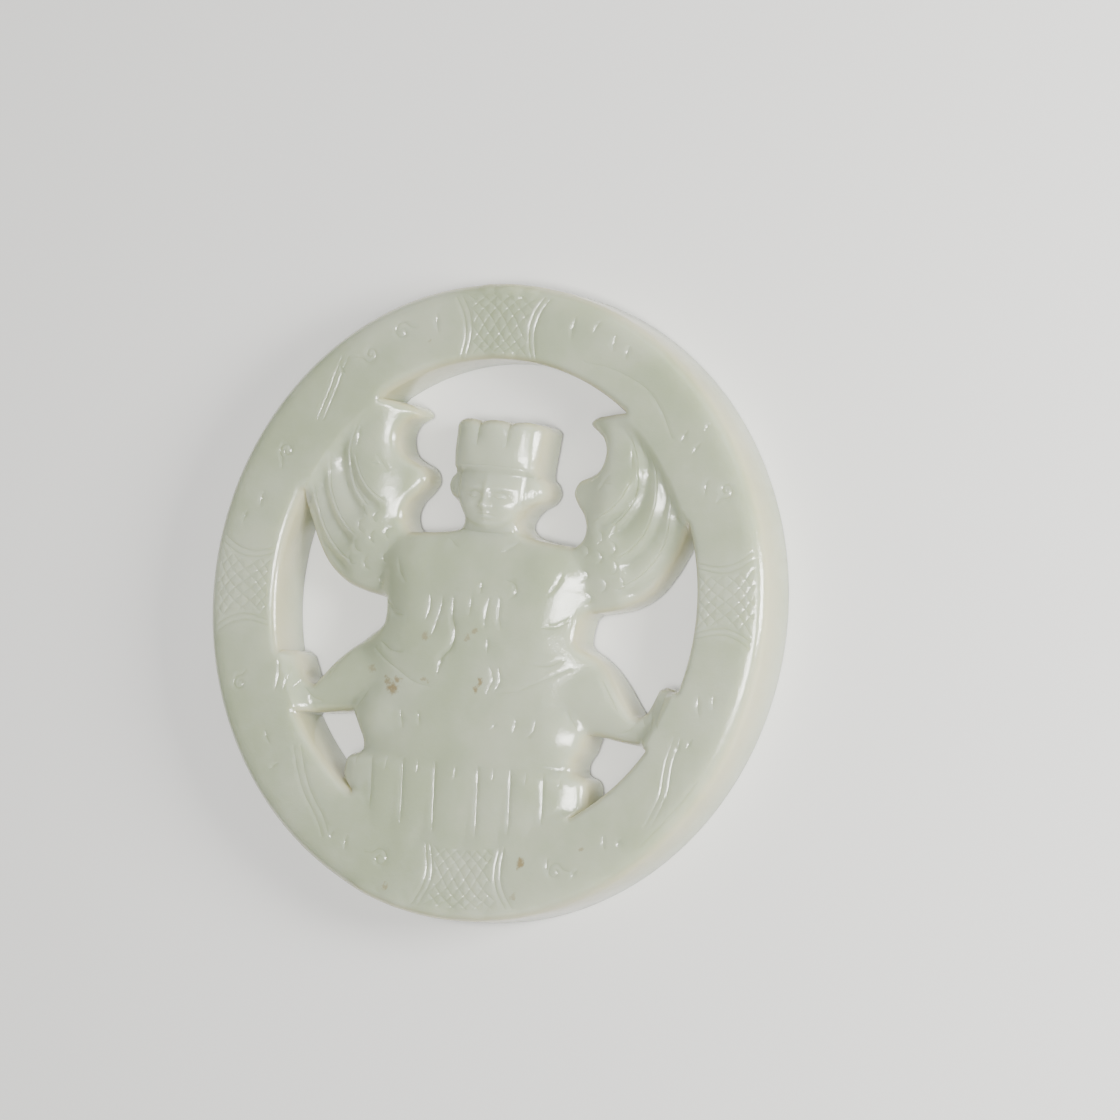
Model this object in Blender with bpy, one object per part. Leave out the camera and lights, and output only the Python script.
"""Openwork jade disc: a flat ring around a frontal winged figure, cut from one stone.

The disc lies on its flat back. X runs to the right of the figure's picture, Y towards its
head and Z up, out of the carved face. The origin is under the middle of the ring.

Sizes are metres. The figure is drawn in carver's units: the opening of the ring is always
OPENING_UNITS of them in radius, so the figure keeps its proportions when the ring changes.
"""
import math

import bmesh
import bpy
import numpy as np
from mathutils import Vector, geometry, kdtree

# Ring
RING_DIAMETER = 0.060
RING_WIDTH = 0.00735
THICKNESS = 0.0054
RING_CROWN = 0.00012
RING_EDGE_RADIUS = 0.0006
RING_STEP_WIDTH = 0.0003

# Figure, heights measured down from the ring's face
FIGURE_EDGE_RADIUS = 0.0008
WING_TOP_DROP = 0.0005
WING_FALL = 0.0017
BODY_TOP_DROP = -0.0001
CHEST_FALL = 0.0009
BELLY_FALL = 0.0012
LIMB_HIP_DROP = 0.0008
LIMB_FOOT_DROP = 0.0016
SKIRT_DROP = 0.00015
HEAD_TOP_DROP = -0.0001
HEAD_FALL = 0.0016
CROWN_FALL = 0.00115
SKIRT_FALL = 0.0011
FORM_BLEND = 0.00012
BACK_RECESS = 0.0004

# Carved lines and folds
FEATHER_STEP = 0.00035
FEATHER_FADE = 0.0011
FLUTE_DEPTH = 0.0001
CROWN_FLUTE_DEPTH = 0.0003

# Fineness of the facets
OUTLINE_STEP = 0.00100
SURFACE_STEP = 0.00128
BACK_STEP = 0.0040
EDGE_SHARES = (0.3, 1.0)

RING_RADIUS = RING_DIAMETER / 2
OPENING_RADIUS = RING_RADIUS - RING_WIDTH
OPENING_UNITS = 22.65
UNIT = OPENING_RADIUS / OPENING_UNITS

# The opening and the figure's middle line lie a little off the rim's middle, as the hand cut them.
OPENING_X = 0.2
OPENING_Y = 0.2
AXIS = -0.45

# Figure's outline, right half, in units from its middle line. Each list is one smooth run.
CROWN_HALF_WIDTH = 4.7
CROWN_TOP = 16.8
CROWN_FOOT = 12.3
CROWN_LOBE_EDGES = (1.6, 4.55)
CROWN_LOBE_RISE = 0.32
CRESCENT_TIP_HEIGHT = 18.75
SIDE_GAP_TOP = 8.9
SIDE_GAP_BOTTOM = -6.45
LOWER_GAP_TOP = -12.25
LOWER_GAP_BOTTOM = -19.0
RUNS = {
    "head_side": [(4.75, 16.5), (4.62, 14.6), (4.5, 12.35), (5.1, 11.6), (5.4, 10.7), (4.9, 9.85),
                  (3.8, 9.15), (3.05, 8.2), (2.9, 7.4), (3.6, 6.7), (5.3, 6.25), (7.2, 6.05)],
    "wing_inside": [(9.1, 5.95), (9.8, 6.7), (10.0, 7.8), (9.6, 8.9), (8.7, 9.9), (8.1, 11.0), (8.6, 12.1),
                    (9.8, 12.65), (10.95, 13.4), (11.45, 14.9), (11.05, 16.1), (10.3, 16.7)],
    "wing_hook": [(9.4, 17.0), (9.45, 17.4), (10.1, 17.85), (11.3, 18.1), (12.7, 18.3)],
    "wing_underside": [(20.7, 8.1), (19.75, 6.1), (18.8, 4.3), (17.3, 2.3), (15.2, 0.85), (13.1, 0.2),
                       (11.4, -0.1)],
    "body_side": [(10.85, -0.6), (10.6, -1.8), (10.6, -2.9), (11.1, -3.5)],
    "limb_top": [(12.4, -4.2), (13.7, -5.15), (15.15, -6.6), (16.35, -8.1), (17.3, -9.2)],
    "foot_side": [(18.1, -9.3), (18.9, -8.7), (19.35, -7.8)],
    "foot_top": [(19.5, -6.75), (20.1, -6.35)],
    "limb_underside": [(18.7, -12.0), (16.5, -11.85), (14.4, -11.6), (12.8, -11.5)],
    "hip_side": [(12.25, -12.9), (11.6, -14.1), (11.75, -15.05), (12.8, -15.5), (13.25, -16.3),
                 (13.4, -18.3)],
}

# How far runs stray from the mirrored drawing, outwards and upwards, as the hand cut them.
STRAY = {
    ("head_side", 1): (0.08, 0.0),
    ("head_side", -1): (0.08, 0.0),
    ("wing_inside", 1): (0.08, 0.0),
    ("wing_inside", -1): (-0.33, 0.0),
    ("wing_hook", 1): (0.0, 0.3),
    ("wing_underside", -1): (0.3, -0.22),
    ("body_side", -1): (-0.35, 0.1),
    ("limb_top", 1): (0.0, 0.1),
    ("limb_top", -1): (-0.05, -0.12),
    ("foot_side", 1): (-0.1, 0.0),
    ("foot_side", -1): (-0.4, 0.0),
    ("foot_top", 1): (0.0, 0.15),
    ("limb_underside", 1): (0.0, 0.1),
    ("limb_underside", -1): (0.0, -0.1),
    ("hip_side", 1): (0.12, 0.0),
    ("hip_side", -1): (-0.45, 0.0),
}

# Figure's inner forms, in units: feather arcs run round centres that move down the wing.
FEATHER_RADII = (6.2, 5.9, 7.2, 8.0)
FEATHER_FIRST_CENTRE = (9.0, 14.3)
FEATHER_CENTRE_MOVE = (0.77, -1.47)
FEATHER_ARC_DEGREES = ((-28.0, -60.0), (28.0, -48.0), (24.0, -52.0), (10.0, -58.0))
SKIRT_TOP = -15.3
SKIRT_CREASES = (2.4, 5.9, 9.35)
SKIRT_LEAN = -0.08
SKIRT_HALF_WIDTH = 12.8
CROWN_FLUTE_HEIGHTS = (13.6, 16.2)
LOBE_CREASE_HEIGHTS = (16.2, 15.3, 14.4)
CLEARANCE = 0.05

# How wide the forms run into each other at the waist, and on the upper wings into the ring.
SKIRT_BLEND = 1.3
WING_BLEND = 1.7
WING_BLEND_HEIGHTS = (8.5, 13.0)

# Rounded forms: centre and half sizes in units, drop of the top below the ring's face, fall at
# the half sizes and a turn in degrees.
WING_FORM = ((13.6, 9.6), (8.6, 10.5), WING_TOP_DROP, WING_FALL, -12)
MOUNDS = [
    ((0, -1.4), (4.6, 4.6), BODY_TOP_DROP - 0.0002, 0.0005, 0),
    ((8.6, -11.8), (4.2, 4.2), 0.00005, 0.00135, 0),
]
NECK_FORM = ((0, 6.6), (3.0, 3.2), 0.0012, 0.0010, 0)
HEAD_FORM = ((0, 10.2), (5.0, 5.4), HEAD_TOP_DROP, HEAD_FALL, 0)

# Forms with a flat top and round flanks, chest and belly: centre and half sizes in units, drop
# of the top and fall at the half sizes.
SLABS = [
    ((0, -1.5), (9.4, 7.0), BODY_TOP_DROP, CHEST_FALL),
    ((0, -9.5), (11.2, 10.5), BODY_TOP_DROP, BELLY_FALL),
]

# Rounded bars: both ends and half width in units, drops of the crest at both ends and fall at
# the half width: sleeve, forearm, shoulder, limb and foot.
BARS = [
    ((6.6, 2.4), (5.6, -1.6), 4.4, 0.00005, -0.00005, 0.0015),
    ((6.2, -3.4), (4.0, -4.4), 3.9, 0.00005, -0.00005, 0.00135),
    ((1.5, 3.4), (8.2, 3.2), 3.2, 0.0003, 0.0005, 0.0012),
    ((10.5, -8.0), (20.5, -9.6), 3.4, LIMB_HIP_DROP, LIMB_FOOT_DROP, 0.0011),
    ((20.6, -8.0), (20.2, -11.0), 2.2, LIMB_FOOT_DROP - 0.0003, LIMB_FOOT_DROP - 0.0001, 0.0010),
]

SMALLEST = 1e-9


def smooth_run(points, step):
    """Points every step or less along a smooth curve through the given points."""
    points = np.array(points, float)
    p = np.array([2 * points[0] - points[1], *points, 2 * points[-1] - points[-2]])
    out = []
    for a, b, c, d in zip(p[:-3], p[1:-2], p[2:-1], p[3:]):
        count = max(1, int(math.ceil(np.linalg.norm(c - b) / step)))
        for t in np.arange(count) / count:
            out.append(0.5 * (2 * b + (c - a) * t + (2 * a - 5 * b + 4 * c - d) * t ** 2
                              + (3 * b - a - 3 * c + d) * t ** 3))
    out.append(p[-2])
    return out


def ring_arc(start, end, step, inset=0.0):
    """The ring's inner edge between two angles, over the shorter way, in units."""
    turn = (end - start + math.pi) % math.tau - math.pi
    count = max(2, int(math.ceil(abs(turn) * OPENING_UNITS / step)))
    angles = start + turn * np.arange(count + 1) / count
    radius = OPENING_UNITS - inset
    return list(np.stack([OPENING_X + radius * np.cos(angles), OPENING_Y + radius * np.sin(angles)], 1))


def opening_angle(y, side):
    """Where a height meets the ring's inner edge, as an angle, on the right (1) or the left (-1)."""
    angle = math.asin((y - OPENING_Y) / OPENING_UNITS)
    return angle if side > 0 else math.pi - angle


def opening_gap(points):
    """How far places in units lie outside the ring's inner edge, in metres."""
    return (np.hypot(points[:, 0] - OPENING_X, points[:, 1] - OPENING_Y) - OPENING_UNITS) * UNIT


def figure_run(name, side, step):
    """A smooth run of the figure's outline, on the right (1) or mirrored to the left (-1)."""
    out, up = STRAY.get((name, side), (0.0, 0.0))
    run = np.array(smooth_run(RUNS[name], step)) + (out, up)
    run[:, 0] = AXIS + side * run[:, 0]
    return list(run[opening_gap(run) < -3 * CLEARANCE * UNIT])


def crown_top_run(step):
    """The lobed top of the crown, from its right corner to its left."""
    inner, outer = CROWN_LOBE_EDGES
    edges = (outer, inner, -inner, -outer)
    out = []
    for start, end in zip(edges[:-1], edges[1:]):
        count = max(3, int(math.ceil(abs(end - start) / step)))
        for i in range(count):
            t = i / count
            rise = CROWN_LOBE_RISE * math.sin(math.pi * t) ** 0.6
            out.append(np.array([AXIS + start + (end - start) * t, CROWN_TOP + rise]))
    out.append(np.array([AXIS - outer, CROWN_TOP]))
    return out


def closed(pieces):
    """One closed loop from runs that follow each other, the ring's first, without doubled points."""
    loop = []
    for piece in pieces:
        for point in piece:
            if not loop or np.linalg.norm(point - loop[-1]) > CLEARANCE:
                loop.append(np.asarray(point, float))
    while np.linalg.norm(loop[0] - loop[-1]) < CLEARANCE:
        loop.pop()
    return np.array(loop)


def head_gap(step):
    """The crescent over the crown with the pockets on both sides of the head."""
    inside = {}
    for side in (1, -1):
        inside[side] = []
        for name in ("head_side", "wing_inside", "wing_hook"):
            inside[side] += figure_run(name, side, step)
    top = ring_arc(opening_angle(CRESCENT_TIP_HEIGHT, 1), opening_angle(CRESCENT_TIP_HEIGHT, -1), step)
    return closed([top, inside[-1][::-1], crown_top_run(step)[::-1], inside[1]])


def side_gap(side, step):
    """The gap between the wing, the body, the limb and the ring."""
    figure = []
    for name in ("wing_underside", "body_side", "limb_top", "foot_side", "foot_top"):
        figure += figure_run(name, side, step)
    low, high = opening_angle(SIDE_GAP_BOTTOM, side), opening_angle(SIDE_GAP_TOP, side)
    return closed([ring_arc(low, high, step), figure])


def lower_gap(side, step):
    """The gap between the limb, the hip and the ring."""
    figure = figure_run("limb_underside", side, step) + figure_run("hip_side", side, step)
    low, high = opening_angle(LOWER_GAP_BOTTOM, side), opening_angle(LOWER_GAP_TOP, side)
    return closed([ring_arc(low, high, step), figure])


def outlines(step):
    """All outlines of the plan in units: the rim first, then the gaps."""
    radius = RING_RADIUS / UNIT
    count = int(math.ceil(math.tau * radius / step))
    angles = np.arange(count) * math.tau / count
    rim = np.stack([radius * np.cos(angles), radius * np.sin(angles)], 1)
    gaps = [head_gap(step)]
    for side in (1, -1):
        gaps += [side_gap(side, step), lower_gap(side, step)]
    return [rim] + gaps


def smoothstep(t):
    """0 below 0, 1 above 1 and a soft rise between them."""
    t = np.clip(t, 0.0, 1.0)
    return t * t * (3 - 2 * t)


def mound(u, v, centre, half, drop, fall, turn):
    """A rounded form: highest at its centre, lower by fall at its half sizes."""
    c, s = math.cos(math.radians(turn)), math.sin(math.radians(turn))
    du, dv = u - centre[0], v - centre[1]
    across, along = c * du + s * dv, -s * du + c * dv
    return THICKNESS - drop - fall * ((across / half[0]) ** 2 + (along / half[1]) ** 2)


def slab(u, v, centre, half, drop, fall):
    """A form with a flat top and round flanks: lower by fall at its half sizes."""
    across = ((u - centre[0]) / half[0]) ** 4 + ((v - centre[1]) / half[1]) ** 4
    return THICKNESS - drop - fall * across


def bar(u, v, start, end, half_width, drop_start, drop_end, fall):
    """A rounded bar between two places, with its own crest height at each end."""
    direction = np.subtract(end, start)
    length = np.linalg.norm(direction)
    direction = direction / length
    along = np.clip((u - start[0]) * direction[0] + (v - start[1]) * direction[1], 0, length)
    gap2 = (u - start[0] - along * direction[0]) ** 2 + (v - start[1] - along * direction[1]) ** 2
    drop = drop_start + (drop_end - drop_start) * along / length
    return THICKNESS - drop - fall * gap2 / half_width ** 2


def soft_highest(levels):
    """The highest of several forms, with the creases between them softened."""
    levels = np.stack(levels)
    peak = levels.max(axis=0)
    return peak + FORM_BLEND * np.log(np.exp((levels - peak) / FORM_BLEND).sum(axis=0))


def feather_centre(k):
    """The centre of feather arc k, in units from the figure's middle line."""
    return (FEATHER_FIRST_CENTRE[0] + k * FEATHER_CENTRE_MOVE[0],
            FEATHER_FIRST_CENTRE[1] + k * FEATHER_CENTRE_MOVE[1])


def feather_steps(u, v):
    """How far the wing is cut down behind each feather's edge."""
    cut = np.zeros_like(u)
    for k, radius in enumerate(FEATHER_RADII):
        cu, cv = feather_centre(k)
        beyond = (np.hypot(u - cu, v - cv) - radius) * UNIT
        angle = np.degrees(np.arctan2(v - cv, u - cu))
        high, low = FEATHER_ARC_DEGREES[k]
        fade = smoothstep((high + 22 - angle) / 22) * smoothstep((angle - low + 12) / 12)
        step = smoothstep(beyond / (0.12 * UNIT)) * np.exp(-np.maximum(beyond, 0) / FEATHER_FADE)
        cut += FEATHER_STEP * fade * step
    return cut


def folds_cut(u, places, depth):
    """How far rounded folds lie below their crests, with creases at the given places."""
    edges = np.array([-p for p in places[::-1]] + list(places))
    edges = np.concatenate([[2 * edges[0] - edges[1]], edges, [2 * edges[-1] - edges[-2]]])
    fold = np.clip(np.searchsorted(edges, u) - 1, 0, len(edges) - 2)
    across = 2 * (u - edges[fold]) / (edges[fold + 1] - edges[fold]) - 1
    return depth * np.clip(across ** 2, 0, 1)


def figure_height(x, y):
    """Height of the figure's carved face over the disc's back, at places in units."""
    u, v = x - AXIS, y
    w = np.abs(u)
    forms = [mound(w, v, *WING_FORM) - feather_steps(w, v)]
    forms += [mound(w, v, *form) for form in MOUNDS]
    forms += [slab(w, v, *form) for form in SLABS]
    forms += [bar(w, v, *form) for form in BARS]
    trunk = soft_highest(forms)
    folds = folds_cut(u - SKIRT_LEAN * (SKIRT_TOP - v), SKIRT_CREASES, FLUTE_DEPTH)
    skirt = THICKNESS - SKIRT_DROP - SKIRT_FALL * (w / SKIRT_HALF_WIDTH) ** 6 - folds
    below_waist = smoothstep((SKIRT_TOP + 0.5 - v) / SKIRT_BLEND)
    trunk = trunk * (1 - below_waist) + skirt * below_waist
    flute_low, flute_high = CROWN_FLUTE_HEIGHTS
    near_top = smoothstep((v - flute_low) / (flute_high - flute_low))
    lobes = folds_cut(u, CROWN_LOBE_EDGES, CROWN_FLUTE_DEPTH) * near_top
    crown = THICKNESS - HEAD_TOP_DROP - CROWN_FALL * (w / CROWN_HALF_WIDTH) ** 3 - lobes
    on_crown = smoothstep((v - CROWN_FOOT + 0.25) / 0.5)
    head = mound(w, v, *HEAD_FORM) * (1 - on_crown) + crown * on_crown
    on_head = smoothstep((6.4 - w) / 0.4) * smoothstep((v - 6.2) / 0.8)
    return trunk * (1 - on_head) + soft_highest([mound(w, v, *NECK_FORM), head]) * on_head


def ring_height(radius):
    """Height of the ring's gently rounded face, at distances from the middle in metres."""
    middle = (RING_RADIUS + OPENING_RADIUS) / 2
    return THICKNESS - RING_CROWN * ((radius - middle) / (RING_WIDTH / 2)) ** 2


def edge_radius(points):
    """How widely an edge is rounded: narrow on the ring, wider on the figure."""
    on_ring = smoothstep(opening_gap(points) / (1.5 * UNIT) + 1)
    return FIGURE_EDGE_RADIUS + (RING_EDGE_RADIUS - FIGURE_EDGE_RADIUS) * on_ring


def rounding(distance, width):
    """How far a rounded edge lies below its face, at distances from the edge."""
    short = np.clip(width - distance, 0, width)
    return width - np.sqrt(width ** 2 - short ** 2)


def step_width(points):
    """How wide the slope from the ring down to the figure is: wide on the upper wings."""
    low, high = WING_BLEND_HEIGHTS
    wide = smoothstep((points[:, 1] - low) / (high - low))
    return RING_STEP_WIDTH + (WING_BLEND * UNIT - RING_STEP_WIDTH) * wide


def face_height(points, edge_distance):
    """Height of the carved face at places in units, whose distance to an edge is in metres."""
    beyond = opening_gap(points)
    figure = figure_height(points[:, 0], points[:, 1]) - rounding(edge_distance, edge_radius(points))
    ring = ring_height(np.hypot(points[:, 0], points[:, 1]) * UNIT)
    ring -= rounding(np.clip(beyond, 0, edge_distance), RING_EDGE_RADIUS)
    on_ring = smoothstep(beyond / step_width(points) + 1)
    return figure * (1 - on_ring) + np.maximum(ring, np.minimum(figure, THICKNESS)) * on_ring


def back_height(points):
    """Height of the plain back: the ring stands on it and the figure is cut back a little."""
    return BACK_RECESS * smoothstep(-opening_gap(points) / (2 * RING_STEP_WIDTH))


class Edges:
    """The outlines, kept to measure how far a place is from the nearest of them."""

    def __init__(self, loops):
        self.starts = np.concatenate(loops)
        self.ends = np.concatenate([np.roll(loop, -1, axis=0) for loop in loops])
        self.before = np.concatenate([np.roll(loop, 1, axis=0) for loop in loops])
        self.tree = kdtree.KDTree(len(self.starts))
        for i, point in enumerate(self.starts):
            self.tree.insert((point[0], point[1], 0), i)
        self.tree.balance()

    def distance(self, points):
        """Distances in units from each point to the nearest outline."""
        nearest = [[hit[1] for hit in self.tree.find_n((p[0], p[1], 0), 3)] for p in points]
        best = np.full(len(points), np.inf)
        for column in np.array(nearest).T:
            for other in (self.ends, self.before):
                a, b = self.starts[column], other[column]
                along = np.clip(((points - a) * (b - a)).sum(1) / ((b - a) ** 2).sum(1), 0, 1)
                best = np.minimum(best, np.linalg.norm(points - a - along[:, None] * (b - a), axis=1))
        return best


def inside(loop, points):
    """Which points lie inside a closed loop."""
    x, y = points[:, 0], points[:, 1]
    result = np.zeros(len(points), bool)
    for (xa, ya), (xb, yb) in zip(loop, np.roll(loop, -1, axis=0)):
        crosses = (ya > y) != (yb > y)
        if crosses.any():
            result ^= crosses & (x < (xb - xa) * (y - ya) / (yb - ya + SMALLEST) + xa)
    return result


def on_material(loops, points):
    """Which points lie inside the rim and in none of the gaps."""
    keep = inside(loops[0], points)
    for loop in loops[1:]:
        keep &= ~inside(loop, points)
    return keep


def row_inside_edge(loops, edges, share):
    """A row of points along every outline, set in by a share of the edge's rounding."""
    rows = []
    for number, loop in enumerate(loops):
        along = np.roll(loop, -1, axis=0) - np.roll(loop, 1, axis=0)
        normal = np.stack([-along[:, 1], along[:, 0]], 1) / np.linalg.norm(along, axis=1)[:, None]
        area = 0.5 * np.sum(loop[:, 0] * np.roll(loop[:, 1], -1) - loop[:, 1] * np.roll(loop[:, 0], -1))
        inward = normal * (math.copysign(1, area) if number == 0 else -math.copysign(1, area))
        offset = share * edge_radius(loop) / UNIT
        row = loop + inward * offset[:, None]
        rows.append(row[edges.distance(row) > 0.9 * offset])
    row = np.concatenate(rows)
    return row[on_material(loops, row)]


def grid_points(step):
    """Points of a triangular grid over the whole disc, in units."""
    radius = RING_RADIUS / UNIT
    rise = step * math.sqrt(3) / 2
    points = []
    for j in range(-int(radius / rise), int(radius / rise) + 1):
        shift = (j % 2) * step / 2
        for i in range(-int(radius / step) - 1, int(radius / step) + 1):
            points.append((i * step + shift, j * rise))
    points = np.array(points)
    return points[np.hypot(points[:, 0], points[:, 1]) < radius]


def thin_out(points, kept, gap):
    """The points that are further than a gap from every kept point."""
    tree = kdtree.KDTree(len(kept))
    for i, point in enumerate(kept):
        tree.insert((point[0], point[1], 0), i)
    tree.balance()
    return np.array([p for p in points if tree.find((p[0], p[1], 0))[2] > gap])


def arc_line(centre, radius, high, low, side, step):
    """Points along an arc on one wing, in units."""
    count = max(2, int(math.ceil(math.radians(high - low) * radius / step)))
    line = []
    for angle in np.radians(np.linspace(high, low, count + 1)):
        u = centre[0] + radius * math.cos(angle)
        line.append((AXIS + side * u, centre[1] + radius * math.sin(angle)))
    return np.array(line)


def clear_runs(lines, loops, edges):
    """The stretches of lines that stay on the material, clear of the outlines."""
    runs = []
    for line in lines:
        clear = on_material(loops, line) & (edges.distance(line) > 2 * CLEARANCE)
        run = []
        for point, kept in zip(line, clear):
            if kept:
                run.append(point)
            elif run:
                runs.append(np.array(run))
                run = []
        if run:
            runs.append(np.array(run))
    return [run for run in runs if len(run) > 1]


def ring_step_lines(step, loops, edges, insets):
    """The ring's inner edge wherever the figure meets it, and lines set in from it."""
    spans = []
    for side in (1, -1):
        spans.append((opening_angle(CRESCENT_TIP_HEIGHT, side), opening_angle(SIDE_GAP_TOP, side)))
        spans.append((opening_angle(SIDE_GAP_BOTTOM, side), opening_angle(LOWER_GAP_TOP, side)))
    spans.append((opening_angle(LOWER_GAP_BOTTOM, 1), opening_angle(LOWER_GAP_BOTTOM, -1)))
    tops = [np.array(ring_arc(start, end, step)) for start, end in spans]
    others = [np.array(ring_arc(start, end, step, inset / UNIT)) for start, end in spans for inset in insets]
    return tops + clear_runs(others, loops, edges)


def carved_lines(step, loops, edges):
    """Lines that the facets follow: the ring's step, feathers, folds and the crown's lobes."""
    lines = []
    for side in (1, -1):
        for k, radius in enumerate(FEATHER_RADII):
            high, low = FEATHER_ARC_DEGREES[k]
            for extra in (0.0, 0.15):
                lines.append(arc_line(feather_centre(k), radius + extra, high, low, side, step))
    for place in SKIRT_CREASES:
        for side in (1, -1):
            foot = OPENING_Y + 1.0 - math.sqrt(OPENING_UNITS ** 2 - place ** 2)
            heights = np.linspace(SKIRT_TOP - 0.3, foot, int(math.ceil((SKIRT_TOP - foot) / step)) + 1)
            lines.append(np.array([(AXIS + side * place + SKIRT_LEAN * (SKIRT_TOP - v), v) for v in heights]))
    for place in CROWN_LOBE_EDGES[:1]:
        for side in (1, -1):
            lines.append(np.array([(AXIS + side * place, v) for v in LOBE_CREASE_HEIGHTS]))
    insets = [RING_STEP_WIDTH] + [-share * RING_EDGE_RADIUS for share in EDGE_SHARES]
    return ring_step_lines(step, loops, edges, insets) + clear_runs(lines, loops, edges)


def triangulate(loops, lines, points):
    """Triangles of the plan between the outlines, following the lines through the points."""
    verts, edges = [], []
    for loop in loops:
        first = len(verts)
        verts += [tuple(p) for p in loop]
        edges += [(first + i, first + (i + 1) % len(loop)) for i in range(len(loop))]
    for line in lines:
        first = len(verts)
        verts += [tuple(p) for p in line]
        edges += [(first + i, first + i + 1) for i in range(len(line) - 1)]
    verts += [tuple(p) for p in points]
    result = geometry.delaunay_2d_cdt([Vector(v) for v in verts], edges, [], 0, 1e-5, True)
    placed = np.array([tuple(v) for v in result[0]])
    for i, sources in enumerate(result[3]):
        if sources:
            placed[i] = verts[sources[0]]
    faces = np.array([list(f) for f in result[2]])
    faces = faces[on_material(loops, placed[faces].mean(axis=1))]
    outline_count = sum(len(loop) for loop in loops)
    outline_vertex = {}
    for i, sources in enumerate(result[3]):
        for source in sources:
            if source < outline_count:
                outline_vertex[source] = i
    return placed, faces, outline_vertex


def used_only(placed, faces, outline_vertex):
    """Drops the vertices that no kept triangle uses."""
    used = np.unique(faces)
    place_of = {old: new for new, old in enumerate(used)}
    faces = np.vectorize(place_of.get)(faces)
    kept = {source: place_of[i] for source, i in outline_vertex.items() if i in place_of}
    return placed[used], faces, kept


def facing(placed, faces, up):
    """Triangles wound so that they face up or down."""
    a, b, c = placed[faces[:, 0]], placed[faces[:, 1]], placed[faces[:, 2]]
    turn = (b[:, 0] - a[:, 0]) * (c[:, 1] - a[:, 1]) - (b[:, 1] - a[:, 1]) * (c[:, 0] - a[:, 0])
    wrong = (turn > 0) != up
    faces = faces.copy()
    faces[wrong] = faces[wrong][:, ::-1]
    return faces


def disc_mesh():
    """The whole carved disc as vertices in metres and triangles, closed all over."""
    step, grid = OUTLINE_STEP / UNIT, SURFACE_STEP / UNIT
    loops = outlines(step)
    edges = Edges(loops)
    lines = carved_lines(grid, loops, edges)
    outline_points = np.concatenate(loops)
    line_points = np.concatenate(lines)
    rows = np.concatenate([row_inside_edge(loops, edges, share) for share in EDGE_SHARES])
    rows = thin_out(rows, line_points, 0.3 * grid)
    free = grid_points(grid)
    free = free[on_material(loops, free)]
    free = thin_out(free, np.concatenate([outline_points, line_points, rows]), 0.66 * grid)
    front, front_faces, front_edge = used_only(*triangulate(loops, lines, np.concatenate([rows, free])))
    front_z = face_height(front, edges.distance(front) * UNIT)

    sparse = grid_points(BACK_STEP / UNIT)
    sparse = sparse[on_material(loops, sparse)]
    ring_lines = ring_step_lines(grid, loops, edges, [RING_STEP_WIDTH])
    sparse = thin_out(sparse, np.concatenate([outline_points, *ring_lines]), 0.3 * BACK_STEP / UNIT)
    back, back_faces, back_edge = used_only(*triangulate(loops, ring_lines, sparse))
    back_z = back_height(back)

    upper = np.column_stack([front * UNIT, front_z])
    lower = np.column_stack([back * UNIT, back_z])
    vertices = np.concatenate([upper, lower])
    faces = [tuple(f) for f in facing(front, front_faces, True)]
    faces += [tuple(f + len(front)) for f in facing(back, back_faces, False)]
    first = 0
    for loop in loops:
        for i in range(len(loop)):
            a, b = first + i, first + (i + 1) % len(loop)
            top_a, top_b = front_edge[a], front_edge[b]
            low_a, low_b = back_edge[a] + len(front), back_edge[b] + len(front)
            faces += [(top_a, low_a, low_b), (top_a, low_b, top_b)]
        first += len(loop)
    return vertices, faces


def jade_material():
    """Polished pale jade."""
    material = bpy.data.materials.new("pale_jade")
    material.use_nodes = True
    shader = material.node_tree.nodes["Principled BSDF"]
    shader.inputs["Base Color"].default_value = (0.60, 0.62, 0.52, 1)
    shader.inputs["Roughness"].default_value = 0.18
    shader.inputs["Metallic"].default_value = 0.0
    return material


def build():
    """Clears the scene and makes the disc."""
    for old in list(bpy.data.objects):
        bpy.data.objects.remove(old)
    vertices, faces = disc_mesh()
    mesh = bpy.data.meshes.new("openwork_disc")
    mesh.from_pydata([tuple(v) for v in vertices], [], faces)
    shape = bmesh.new()
    shape.from_mesh(mesh)
    bmesh.ops.recalc_face_normals(shape, faces=shape.faces)
    shape.to_mesh(mesh)
    shape.free()
    mesh.materials.append(jade_material())
    mesh.shade_smooth()
    mesh.set_sharp_from_angle(angle=math.radians(40))
    disc = bpy.data.objects.new("openwork_disc", mesh)
    bpy.context.collection.objects.link(disc)
    return disc


build()
